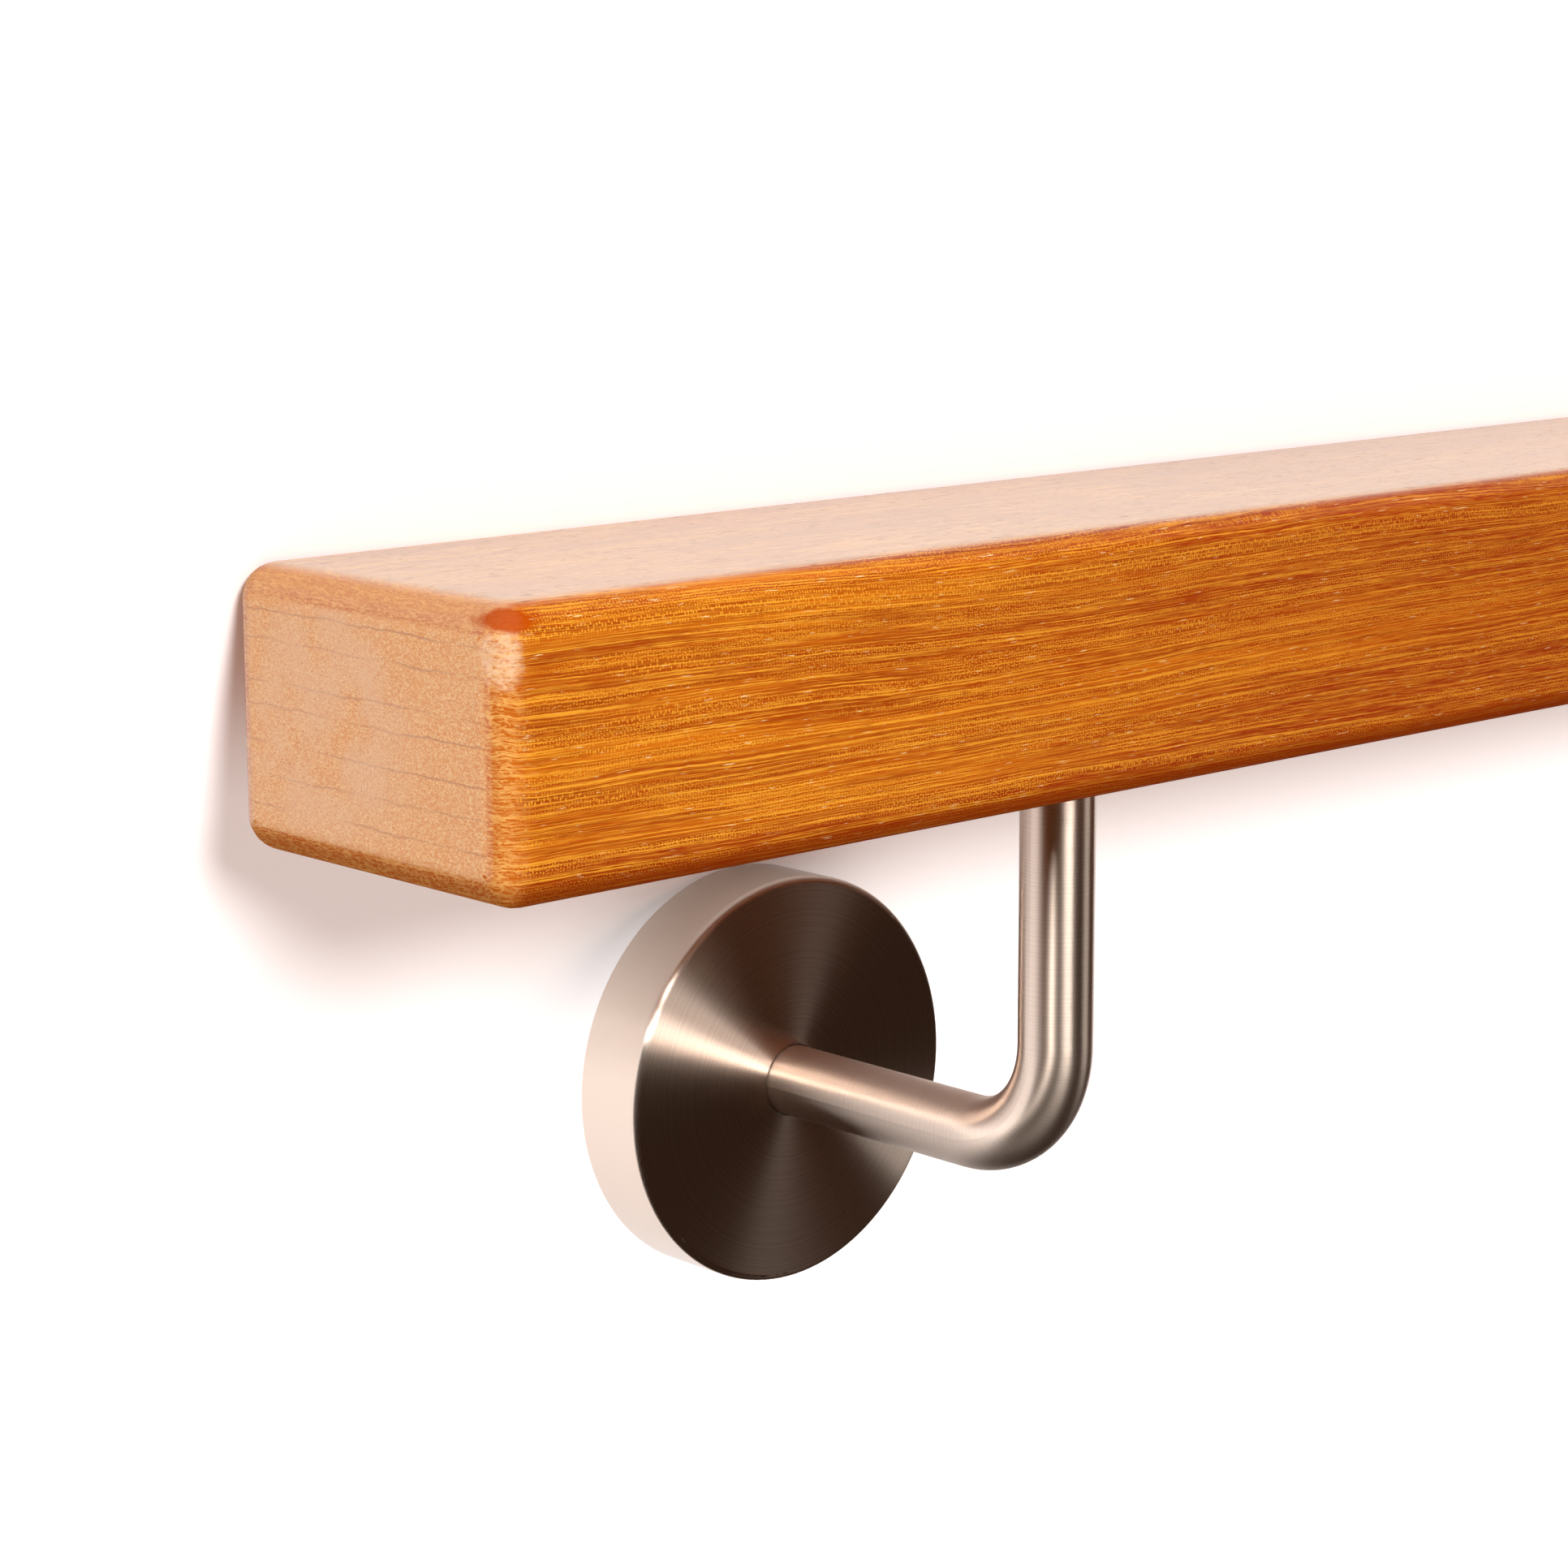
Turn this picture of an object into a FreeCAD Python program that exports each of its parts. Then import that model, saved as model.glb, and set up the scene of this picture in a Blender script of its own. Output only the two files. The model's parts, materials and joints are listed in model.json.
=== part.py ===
import FreeCAD, Part
import Sketcher

import math
import os

# Driving sizes in millimetres, one row for each: name, value, what it measures.
SIZES = (
    ("rail_length", 1000.0, "length of the timber rail, end to end"),
    ("rail_depth", 60.0, "width of the rail, measured out from the fixing plane"),
    ("rail_height", 40.0, "height of the rail"),
    ("rail_edge_radius", 5.0, "rounding of every edge and corner of the rail"),
    ("hand_gap", 45.0, "clear hand space between the fixing plane and the back of the rail"),
    ("bracket_inset", 133.0, "from each end of the rail to its bracket"),
    ("bar_diameter", 12.0, "round bar of the bracket arm"),
    ("bar_drop", 64.0, "from the underside of the rail down to the axis of the arm"),
    ("bar_bend_radius", 18.0, "radius of the bend, on the axis of the bar"),
    ("bar_end_chamfer", 0.5, "chamfer round the upper end of the bar"),
    ("spigot_diameter", 9.0, "turned end of the bar that passes through the flange"),
    ("spigot_recess", 0.3, "how far the turned end stops short of the fixing plane"),
    ("spigot_clearance", 0.05, "radial play of the turned end in the flange"),
    ("flange_thickness", 6.0, "thickness of the round flange behind the rose"),
    ("flange_chamfer", 0.5, "chamfer on both rims of the flange"),
    ("screw_circle", 46.0, "diameter of the circle of fixing screws"),
    ("screw_hole", 6.5, "diameter of each screw hole"),
    ("screw_sink", 12.0, "diameter of each countersink"),
    ("screw_sink_angle", 90.0, "included angle of each countersink, in degrees"),
    ("rose_diameter", 70.0, "outer diameter of the cover rose"),
    ("rose_height", 14.0, "how far the face of the rose stands off the fixing plane"),
    ("rose_sheet", 1.5, "sheet thickness of the rose"),
    ("rose_edge_radius", 1.2, "rounding where the face of the rose turns into its rim"),
    ("rose_bar_play", 0.25, "radial play between the rose and the bar"),
    ("rose_flange_play", 0.15, "radial play between the rose and the flange"),
    ("stud_diameter", 8.0, "hanger bolt that joins the bar to the rail"),
    ("stud_in_bar", 20.0, "length of the hanger bolt inside the bar"),
    ("stud_in_rail", 28.0, "length of the hanger bolt inside the rail"),
    ("stud_tip", 5.0, "length of the pointed wood end of the hanger bolt"),
    ("stud_end_chamfer", 0.8, "chamfer on the metal end of the hanger bolt"),
    ("stud_play", 0.05, "radial play of the hanger bolt in both of its bores"),
    ("stud_end_play", 1.5, "free depth past each end of the hanger bolt"),
    ("drill_point_angle", 118.0, "included angle that a drill leaves, in degrees"),
)
SCREWS_PER_FLANGE = 3
BRACKETS = (("1", 1), ("2", -1))  # name suffix, and the end of the rail it stands at
FULL_TURN = 360.0
CLOSE = 0.001  # lengths that differ by less are taken as equal
LEAST_CUT = 1.0  # the smallest volume that a hole is expected to take away

# Inside a sketch, these numbers stand for its axes, and for the points of a line, an arc or a circle.
HORIZONTAL_AXIS, VERTICAL_AXIS = -1, -2
START, END, CENTRE = 1, 2, 3
ORIGIN = (HORIZONTAL_AXIS, START)

doc = FreeCAD.newDocument("wall_handrail")
sheet = doc.addObject("Spreadsheet::Sheet", "Sizes")
for row, (alias, value, meaning) in enumerate(SIZES, start=1):
    sheet.set(f"A{row}", str(value))
    sheet.setAlias(f"A{row}", alias)
    sheet.set(f"B{row}", meaning)
doc.recompute()


def size(alias):
    """The value of a driving size."""
    return float(sheet.get(alias))


# The model is built as it hangs: its fixing plane is y = 0, +Y points away from that plane, +Z is up,
# the rail's underside is z = 0 and x = 0 is the middle of its length.
REACH = "Sizes.hand_gap + Sizes.rail_depth / 2"
reach = size("hand_gap") + size("rail_depth") / 2
STUD_BORE = "Sizes.stud_diameter + 2 * Sizes.stud_play"


def new_body(label):
    """An empty body whose label names its file."""
    body = doc.addObject("PartDesign::Body", label)
    body.Label = label
    return body


def origin_feature(body, role):
    """A plane or an axis of the body's own origin, such as XY_Plane or Y_Axis."""
    return next(f for f in body.Origin.OriginFeatures if f.Role == role)


def new_sketch(body, name, role):
    """An empty sketch on one of the body's own origin planes."""
    sketch = body.newObject("Sketcher::SketchObject", name)
    sketch.AttachmentSupport = [(origin_feature(body, role), "")]
    sketch.MapMode = "FlatFace"
    return sketch


def outline(sketch, corners):
    """A closed outline of straight lines, square ones held square. Returns the number of its first line."""
    points = [FreeCAD.Vector(a, b, 0) for a, b in corners]
    first = sketch.GeometryCount
    for here, there in zip(points, points[1:] + points[:1]):
        line = sketch.addGeometry(Part.LineSegment(here, there), False)
        if here.y == there.y:
            sketch.addConstraint(Sketcher.Constraint("Horizontal", line))
        elif here.x == there.x:
            sketch.addConstraint(Sketcher.Constraint("Vertical", line))
    count = len(points)
    for k in range(count):
        following = first + (k + 1) % count
        sketch.addConstraint(Sketcher.Constraint("Coincident", first + k, END, following, START))
    return first


def drive(sketch, kind, first_point, second_point, formula):
    """Sets the distance from one point of a sketch to another by a formula of the driving sizes."""
    a = sketch.getPoint(*first_point)
    b = sketch.getPoint(*second_point)
    now = b.x - a.x if kind == "DistanceX" else b.y - a.y
    number = sketch.addConstraint(Sketcher.Constraint(kind, *first_point, *second_point, now))
    sketch.setExpression(f"Constraints[{number}]", formula)


def across(sketch, first_point, second_point, formula):
    """A horizontal dimension of a sketch."""
    drive(sketch, "DistanceX", first_point, second_point, formula)


def upward(sketch, first_point, second_point, formula):
    """A vertical dimension of a sketch."""
    drive(sketch, "DistanceY", first_point, second_point, formula)


def circle(sketch, centre, radius, across_formula, up_formula, diameter_formula):
    """A circle whose centre and diameter follow the driving sizes. A formula of None puts it on that axis."""
    number = sketch.addGeometry(
        Part.Circle(FreeCAD.Vector(centre[0], centre[1], 0), FreeCAD.Vector(0, 0, 1), radius), False
    )
    middle = (number, CENTRE)
    if across_formula is None:
        sketch.addConstraint(Sketcher.Constraint("PointOnObject", *middle, VERTICAL_AXIS))
    else:
        across(sketch, ORIGIN, middle, across_formula)
    if up_formula is None:
        sketch.addConstraint(Sketcher.Constraint("PointOnObject", *middle, HORIZONTAL_AXIS))
    else:
        upward(sketch, ORIGIN, middle, up_formula)
    width = sketch.addConstraint(Sketcher.Constraint("Diameter", number, 2 * radius))
    sketch.setExpression(f"Constraints[{width}]", diameter_formula)
    return number


def turned(body, name, sketch, centre_line):
    """A full turn of a profile round one of its own construction lines."""
    turn = body.newObject("PartDesign::Revolution", name)
    turn.Profile = sketch
    turn.ReferenceAxis = (sketch, [centre_line])
    turn.Angle = FULL_TURN
    return turn


def drilled(body, name, sketch, diameter_formula, depth_formula, upwards):
    """Blind holes with a drill point at a sketch's circles."""
    doc.recompute()
    hole = body.newObject("PartDesign::Hole", name)
    hole.Profile = sketch
    hole.DepthType = "Dimension"
    hole.DrillPoint = "Angled"
    hole.Reversed = upwards
    hole.setExpression("Diameter", diameter_formula)
    hole.setExpression("Depth", depth_formula)
    hole.setExpression("DrillPointAngle", "Sizes.drill_point_angle")
    return hole


def edges_where(feature, test):
    """Names of the edges of a feature's shape that pass a test, as a fillet or a chamfer wants them."""
    return [f"Edge{k}" for k, edge in enumerate(feature.Shape.Edges, start=1) if test(edge)]


def dress(body, kind, name, base, test, property_name, formula):
    """A fillet or chamfer on those edges of the base feature that pass a test."""
    doc.recompute()
    dressing = body.newObject(kind, name)
    dressing.Base = (base, edges_where(base, test))
    dressing.setExpression(property_name, formula)
    return dressing


def is_circle(radius, axis_point):
    """A test for a round edge of a given radius whose centre is at a given point."""
    centre = FreeCAD.Vector(*axis_point)

    def test(edge):
        curve = edge.Curve
        return (
            isinstance(curve, Part.Circle)
            and abs(curve.Radius - radius) < CLOSE
            and (curve.Center - centre).Length < CLOSE
        )

    return test


def require_cut(before, after):
    """Stops the build if a hole took nothing away."""
    if after.Shape.Volume > before.Shape.Volume - LEAST_CUT:
        raise RuntimeError(f"{after.Label} cuts nothing")


# Timber rail: one planed length with every edge rounded over, drilled from below for the hanger bolts.
def build_rail():
    body = new_body("handrail")
    section = new_sketch(body, "rail_section", "YZ_Plane")
    back, front, top = size("hand_gap"), size("hand_gap") + size("rail_depth"), size("rail_height")
    line = outline(section, [(back, 0), (front, 0), (front, top), (back, top)])
    section.addConstraint(Sketcher.Constraint("PointOnObject", line, START, HORIZONTAL_AXIS))
    across(section, ORIGIN, (line, START), "Sizes.hand_gap")
    across(section, (line, START), (line, END), "Sizes.rail_depth")
    upward(section, (line + 1, START), (line + 1, END), "Sizes.rail_height")

    stock = body.newObject("PartDesign::Pad", "rail_stock")
    stock.Profile = section
    stock.SideType = "Symmetric"
    stock.setExpression("Length", "Sizes.rail_length")

    rounded = dress(
        body, "PartDesign::Fillet", "rail_rounding", stock, lambda edge: True,
        "Radius", "Sizes.rail_edge_radius",
    )

    marks = new_sketch(body, "stud_marks", "XY_Plane")
    radius = size("stud_diameter") / 2
    for _, side in BRACKETS:
        x = side * (size("rail_length") / 2 - size("bracket_inset"))
        circle(
            marks, (x, reach), radius,
            f"{side} * (Sizes.rail_length / 2 - Sizes.bracket_inset)", REACH, STUD_BORE,
        )
    bores = drilled(
        body, "stud_bores", marks, STUD_BORE,
        "Sizes.stud_in_rail + Sizes.stud_end_play", True,
    )
    doc.recompute()
    require_cut(rounded, bores)
    return body


# Bracket arm: one round bar, bent once, with a turned end for the flange and a bore for the hanger bolt.
def build_arm(suffix):
    body = new_body(f"bracket_arm_{suffix}")
    shoulder, bend, drop = size("flange_thickness"), size("bar_bend_radius"), size("bar_drop")

    path = new_sketch(body, f"arm_path_{suffix}", "YZ_Plane")
    point = FreeCAD.Vector
    level = path.addGeometry(
        Part.LineSegment(point(shoulder, -drop, 0), point(reach - bend, -drop, 0)), False
    )
    turn = path.addGeometry(
        Part.ArcOfCircle(
            Part.Circle(point(reach - bend, bend - drop, 0), point(0, 0, 1), bend), -math.pi / 2, 0
        ),
        False,
    )
    upright = path.addGeometry(
        Part.LineSegment(point(reach, bend - drop, 0), point(reach, 0, 0)), False
    )
    path.addConstraint(Sketcher.Constraint("Tangent", level, END, turn, START))
    path.addConstraint(Sketcher.Constraint("Tangent", turn, END, upright, START))
    path.addConstraint(Sketcher.Constraint("Horizontal", level))
    path.addConstraint(Sketcher.Constraint("Vertical", upright))
    path.addConstraint(Sketcher.Constraint("PointOnObject", upright, END, HORIZONTAL_AXIS))
    across(path, ORIGIN, (level, START), "Sizes.flange_thickness")
    upward(path, ORIGIN, (level, START), "-Sizes.bar_drop")
    across(path, ORIGIN, (upright, END), REACH)
    rounding = path.addConstraint(Sketcher.Constraint("Radius", turn, bend))
    path.setExpression(f"Constraints[{rounding}]", "Sizes.bar_bend_radius")

    # The XZ plane faces towards -Y, so an offset out from the fixing plane is negative.
    section = new_sketch(body, f"arm_section_{suffix}", "XZ_Plane")
    section.setExpression("AttachmentOffset.Base.z", "-Sizes.flange_thickness")
    circle(
        section, (0, -drop), size("bar_diameter") / 2, None, "-Sizes.bar_drop", "Sizes.bar_diameter"
    )
    bar = body.newObject("PartDesign::AdditivePipe", f"arm_bar_{suffix}")
    bar.Profile = section
    bar.Spine = (path, [])

    dress(
        body, "PartDesign::Chamfer", f"arm_end_{suffix}", bar,
        is_circle(size("bar_diameter") / 2, (0, reach, 0)), "Size", "Sizes.bar_end_chamfer",
    )

    root = new_sketch(body, f"spigot_section_{suffix}", "XZ_Plane")
    root.setExpression("AttachmentOffset.Base.z", "-Sizes.flange_thickness")
    circle(
        root, (0, -drop), size("spigot_diameter") / 2, None, "-Sizes.bar_drop", "Sizes.spigot_diameter"
    )
    spigot = body.newObject("PartDesign::Pad", f"spigot_{suffix}")
    spigot.Profile = root
    spigot.setExpression("Length", "Sizes.flange_thickness - Sizes.spigot_recess")

    mark = new_sketch(body, f"arm_bore_mark_{suffix}", "XY_Plane")
    circle(mark, (0, reach), size("stud_diameter") / 2, None, REACH, STUD_BORE)
    bore = drilled(
        body, f"arm_bore_{suffix}", mark, STUD_BORE,
        "Sizes.stud_in_bar + Sizes.stud_end_play", False,
    )
    doc.recompute()
    require_cut(spigot, bore)
    return body


# Flange: a turned disc behind the rose, with three countersunk screw holes.
def build_flange(suffix):
    body = new_body(f"wall_flange_{suffix}")
    thickness, drop = size("flange_thickness"), size("bar_drop")
    rim = size("rose_diameter") / 2 - size("rose_sheet") - size("rose_flange_play")
    hub = size("spigot_diameter") / 2 + size("spigot_clearance")

    profile = new_sketch(body, f"flange_profile_{suffix}", "YZ_Plane")
    line = outline(
        profile, [(0, hub - drop), (thickness, hub - drop), (thickness, rim - drop), (0, rim - drop)]
    )
    axis = centre_line_across(profile, thickness)
    profile.addConstraint(Sketcher.Constraint("PointOnObject", line, START, VERTICAL_AXIS))
    across(profile, (line, START), (line, END), "Sizes.flange_thickness")
    upward(profile, (axis, START), (line, START), "Sizes.spigot_diameter / 2 + Sizes.spigot_clearance")
    upward(
        profile, (axis, START), (line + 2, START),
        "Sizes.rose_diameter / 2 - Sizes.rose_sheet - Sizes.rose_flange_play",
    )
    disc = turned(body, f"flange_disc_{suffix}", profile, "Axis0")
    bevelled = dress(
        body, "PartDesign::Chamfer", f"flange_rims_{suffix}", disc,
        lambda edge: isinstance(edge.Curve, Part.Circle) and abs(edge.Curve.Radius - rim) < CLOSE,
        "Size", "Sizes.flange_chamfer",
    )

    # One screw hole, drilled from the front straight above the bar, then repeated round it.
    mark = new_sketch(body, f"screw_mark_{suffix}", "XZ_Plane")
    mark.setExpression("AttachmentOffset.Base.z", "-Sizes.flange_thickness")
    circle(
        mark, (0, size("screw_circle") / 2 - drop), size("screw_hole") / 2, None,
        "Sizes.screw_circle / 2 - Sizes.bar_drop", "Sizes.screw_hole",
    )
    doc.recompute()
    hole = body.newObject("PartDesign::Hole", f"screw_hole_{suffix}")
    hole.Profile = mark
    hole.DepthType = "ThroughAll"
    hole.HoleCutType = "Countersink"
    hole.Reversed = True
    hole.HoleCutCustomValues = True
    hole.setExpression("Diameter", "Sizes.screw_hole")
    hole.setExpression("HoleCutDiameter", "Sizes.screw_sink")
    hole.setExpression("HoleCutCountersinkAngle", "Sizes.screw_sink_angle")
    doc.recompute()
    require_cut(bevelled, hole)

    ring = body.newObject("PartDesign::PolarPattern", f"screw_ring_{suffix}")
    ring.Originals = [hole]
    ring.Axis = (profile, ["Axis0"])
    ring.Angle = FULL_TURN
    ring.Occurrences = SCREWS_PER_FLANGE
    body.Tip = ring
    doc.recompute()
    require_cut(hole, ring)
    return body


def centre_line_across(sketch, length):
    """A construction line along the bar's level axis, out from the fixing plane. Returns its number."""
    drop = size("bar_drop")
    line = sketch.addGeometry(
        Part.LineSegment(FreeCAD.Vector(0, -drop, 0), FreeCAD.Vector(length, -drop, 0)), True
    )
    sketch.addConstraint(Sketcher.Constraint("Horizontal", line))
    sketch.addConstraint(Sketcher.Constraint("PointOnObject", line, START, VERTICAL_AXIS))
    upward(sketch, ORIGIN, (line, START), "-Sizes.bar_drop")
    return line


# Cover rose: a pressed cup that hides the flange, open at the back and pierced for the bar.
def build_rose(suffix):
    body = new_body(f"cover_rose_{suffix}")
    drop, height, sheet_thickness = size("bar_drop"), size("rose_height"), size("rose_sheet")
    outer = size("rose_diameter") / 2 - drop
    inner = outer - sheet_thickness
    hole = size("bar_diameter") / 2 + size("rose_bar_play") - drop
    floor = height - sheet_thickness

    profile = new_sketch(body, f"rose_profile_{suffix}", "YZ_Plane")
    line = outline(
        profile,
        [(0, inner), (floor, inner), (floor, hole), (height, hole), (height, outer), (0, outer)],
    )
    axis = centre_line_across(profile, height)
    profile.addConstraint(Sketcher.Constraint("PointOnObject", line, START, VERTICAL_AXIS))
    across(profile, (line + 4, END), (line + 4, START), "Sizes.rose_height")
    across(profile, (line + 2, START), (line + 2, END), "Sizes.rose_sheet")
    upward(profile, (line, START), (line + 5, START), "Sizes.rose_sheet")
    upward(profile, (axis, START), (line + 5, START), "Sizes.rose_diameter / 2")
    upward(profile, (axis, START), (line + 2, START), "Sizes.bar_diameter / 2 + Sizes.rose_bar_play")
    cup = turned(body, f"rose_cup_{suffix}", profile, "Axis0")
    dress(
        body, "PartDesign::Fillet", f"rose_edge_{suffix}", cup,
        is_circle(size("rose_diameter") / 2, (0, height, -drop)), "Radius", "Sizes.rose_edge_radius",
    )
    return body


# Hanger bolt: a metal thread in the bar and a pointed wood thread in the rail, drawn at full diameter.
def build_stud(suffix):
    body = new_body(f"rail_stud_{suffix}")
    radius, bevel, tip = size("stud_diameter") / 2, size("stud_end_chamfer"), size("stud_tip")
    low, high = -size("stud_in_bar"), size("stud_in_rail")

    profile = new_sketch(body, f"stud_profile_{suffix}", "YZ_Plane")
    line = outline(
        profile,
        [
            (reach, low),
            (reach + radius - bevel, low),
            (reach + radius, low + bevel),
            (reach + radius, high - tip),
            (reach, high),
        ],
    )
    axis = profile.addGeometry(
        Part.LineSegment(FreeCAD.Vector(reach, low, 0), FreeCAD.Vector(reach, high, 0)), True
    )
    profile.addConstraint(Sketcher.Constraint("Coincident", axis, START, line, START))
    profile.addConstraint(Sketcher.Constraint("Coincident", axis, END, line + 3, END))
    across(profile, ORIGIN, (line, START), REACH)
    upward(profile, ORIGIN, (line, START), "-Sizes.stud_in_bar")
    upward(profile, ORIGIN, (line + 3, END), "Sizes.stud_in_rail")
    across(profile, (line, START), (line, END), "Sizes.stud_diameter / 2 - Sizes.stud_end_chamfer")
    across(profile, (line + 1, START), (line + 1, END), "Sizes.stud_end_chamfer")
    upward(profile, (line + 1, START), (line + 1, END), "Sizes.stud_end_chamfer")
    upward(profile, (line + 3, START), (line + 3, END), "Sizes.stud_tip")
    turned(body, f"stud_{suffix}", profile, "Axis0")
    return body


def resting_placement():
    """Turns the hanging model into the pose in which it lies on its back on a level floor.

    It then rests on the upper rim of each rose and on the rounded upper back edge of the rail. The
    floor is the line through the rim that touches the rounded edge, seen along the rail.
    """
    rounding = size("rail_edge_radius")
    rim_height = size("rose_diameter") / 2 - size("bar_drop")
    edge_out = size("hand_gap") + rounding
    edge_up = size("rail_height") - rounding - rim_height
    lean = math.atan2(edge_out, edge_up) - math.asin(rounding / math.hypot(edge_out, edge_up))
    turn = math.pi / 2 + lean
    cosine, sine = math.cos(turn), math.sin(turn)

    # The front upper edge of the rail and the lower rim of the rose are the furthest points each way.
    front_centre = size("hand_gap") + size("rail_depth") - rounding
    nearest = front_centre * cosine - (size("rail_height") - rounding) * sine - rounding
    furthest = (size("bar_drop") + size("rose_diameter") / 2) * sine
    shift = FreeCAD.Vector(0, -(nearest + furthest) / 2, -rim_height * cosine)
    return FreeCAD.Placement(shift, FreeCAD.Rotation(FreeCAD.Vector(1, 0, 0), math.degrees(turn)))


def build_all():
    """Builds every piece where it hangs, then lays the whole thing down. Returns the bodies."""
    resting = resting_placement()
    rail = build_rail()
    rail.Placement = resting
    bodies = [rail]
    for suffix, side in BRACKETS:
        along = side * (size("rail_length") / 2 - size("bracket_inset"))
        station = FreeCAD.Placement(FreeCAD.Vector(along, 0, 0), FreeCAD.Rotation())
        for build in (build_arm, build_flange, build_rose, build_stud):
            body = build(suffix)
            body.Placement = resting * station
            bodies.append(body)
    doc.recompute()
    return bodies


def check(bodies):
    """Stops the build if any object failed or any piece isn't one sound solid."""
    failed = [o.Label for o in doc.Objects if {"Invalid", "Error"} & set(o.State)]
    if failed:
        raise RuntimeError(f"these objects failed: {failed}")
    for body in bodies:
        shape = body.Shape
        if shape.isNull() or not shape.isValid() or len(shape.Solids) != 1:
            raise RuntimeError(f"{body.Label} isn't one valid solid")


pieces = build_all()
check(pieces)
os.makedirs("parts", exist_ok=True)
for piece in pieces:
    piece.Shape.exportStep(f"parts/{piece.Label}.step")
    print(f"{piece.Label}: {piece.Shape.Volume / 1000:.2f} cm3")
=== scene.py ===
# %% [markdown]
# # A timber handrail on bent steel brackets
#
# The object is one length of varnished hardwood handrail, carried by two bent steel bars. Each bar
# ends in a round cover rose that hides its screws. Here the rail lies on a floor on its back, so the
# side that faces a person when it hangs looks up.
#
# The shapes come from the construction model. What this lesson adds is how they look: the grain and
# varnish of the timber, the brushed and the turned steel, the zinc plate, the light and the camera.

import json
import math

import bpy
from mathutils import Matrix, Vector

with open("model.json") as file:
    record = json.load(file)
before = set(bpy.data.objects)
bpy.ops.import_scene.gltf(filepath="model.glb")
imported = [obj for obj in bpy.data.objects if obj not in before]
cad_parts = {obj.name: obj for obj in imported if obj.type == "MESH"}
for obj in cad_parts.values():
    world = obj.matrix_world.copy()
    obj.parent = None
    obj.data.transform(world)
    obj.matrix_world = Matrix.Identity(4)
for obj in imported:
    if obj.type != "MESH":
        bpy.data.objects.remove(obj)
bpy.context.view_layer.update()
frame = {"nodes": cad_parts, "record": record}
print("nodes:", ", ".join(sorted(frame["nodes"])))

# %% [markdown]
# ## Directions of the hanging rail
#
# It is easier to think of the rail as it hangs: along its length, out towards a person, and up. The
# model says which way the fixing face of a bracket looks, so out is the other way, and up is square
# to both. A point given in these three directions is turned into the lying model by one matrix.

# %% Directions and centre of the rail
ALONG = Vector((1.0, 0.0, 0.0))
mounts = {mount["name"]: mount for mount in frame["record"]["mounts"]}
OUT = -Vector(mounts["wall_face_1"]["axis"]).normalized()
UP = ALONG.cross(OUT)
HUNG = Matrix((ALONG, OUT, UP)).transposed()
LEAN = HUNG.to_euler()


def extent(name, direction):
    """Lowest and highest place of a node in a direction, in metres."""
    places = [vertex.co.dot(direction) for vertex in frame["nodes"][name].data.vertices]
    return min(places), max(places)


def centre_of(name):
    """Middle of a node, measured in the three directions of the hanging rail."""
    middles = [sum(extent(name, direction)) / 2 for direction in (ALONG, OUT, UP)]
    return HUNG @ Vector(middles)


METRE_IN_MM = 1000.0
RAIL_CENTRE = centre_of("handrail")
RAIL_HALF = [(high - low) / 2 for low, high in (extent("handrail", d) for d in (ALONG, OUT, UP))]
RAIL_END, RAIL_FRONT, RAIL_TOP = [half * METRE_IN_MM for half in RAIL_HALF]
print("rail, half sizes in mm:", round(RAIL_END, 1), round(RAIL_FRONT, 1), round(RAIL_TOP, 1))

# %% [markdown]
# ## Camera
#
# The picture is taken from beside the rail's end, a little above it, with a long lens. The camera is
# placed by how far it stands from the end, the centre line and the middle height of the rail, and
# aimed by three angles, as a photographer would note them down.

# %% Place and aim the camera
BEYOND_END = 0.2942
IN_FRONT = 0.4022
ABOVE = 0.0885
TURNED_RIGHT = math.radians(42.56)
TILTED_DOWN = math.radians(10.90)
ROLLED = math.radians(-0.20)
FOCAL_LENGTH = 88.0
SENSOR_WIDTH = 36.0

eye = RAIL_CENTRE + HUNG @ Vector((RAIL_HALF[0] + BEYOND_END, IN_FRONT, ABOVE))
level = Vector((-math.sin(TURNED_RIGHT), -math.cos(TURNED_RIGHT), 0.0))
look = level * math.cos(TILTED_DOWN) - Vector((0.0, 0.0, math.sin(TILTED_DOWN)))
right = look.cross(Vector((0.0, 0.0, 1.0))).normalized()
top = right.cross(look)
rolled_right = right * math.cos(ROLLED) + top * math.sin(ROLLED)
rolled_top = top * math.cos(ROLLED) - right * math.sin(ROLLED)
axes = Matrix((HUNG @ rolled_right, HUNG @ rolled_top, HUNG @ -look)).transposed()

camera_data = bpy.data.cameras.new("camera")
camera_data.lens = FOCAL_LENGTH
camera_data.sensor_width = SENSOR_WIDTH
camera = bpy.data.objects.new("camera", camera_data)
camera.matrix_world = Matrix.Translation(eye) @ axes.to_4x4()
bpy.context.scene.collection.objects.link(camera)
bpy.context.scene.camera = camera
print("camera at", [round(value, 3) for value in eye])

# %% [markdown]
# ## Short words for shader nodes
#
# A finish is a network of small nodes. These helpers add one node each and hand back the socket that
# it gives out, so that a finish reads like a sum: noise, then a range, then a mix of two colours.
#
# Most of these sums are masks: numbers that are 1 where a mark shows, 0 where it doesn't, and soft
# between. Masks are combined like words, with both, either and inverse.

# %% One node, and sums on numbers and vectors
def feed(tree, made, inputs):
    """Fills a node's inputs with numbers, colours, vectors or the sockets of other nodes."""
    for key, value in inputs.items():
        if isinstance(value, bpy.types.NodeSocket):
            tree.links.new(value, made.inputs[key])
        else:
            made.inputs[key].default_value = value


def node(tree, kind, inputs=None, **settings):
    """Adds a shader node, with its settings and its inputs."""
    made = tree.nodes.new("ShaderNode" + kind)
    for name, value in settings.items():
        setattr(made, name, value)
    feed(tree, made, inputs or {})
    return made


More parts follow.
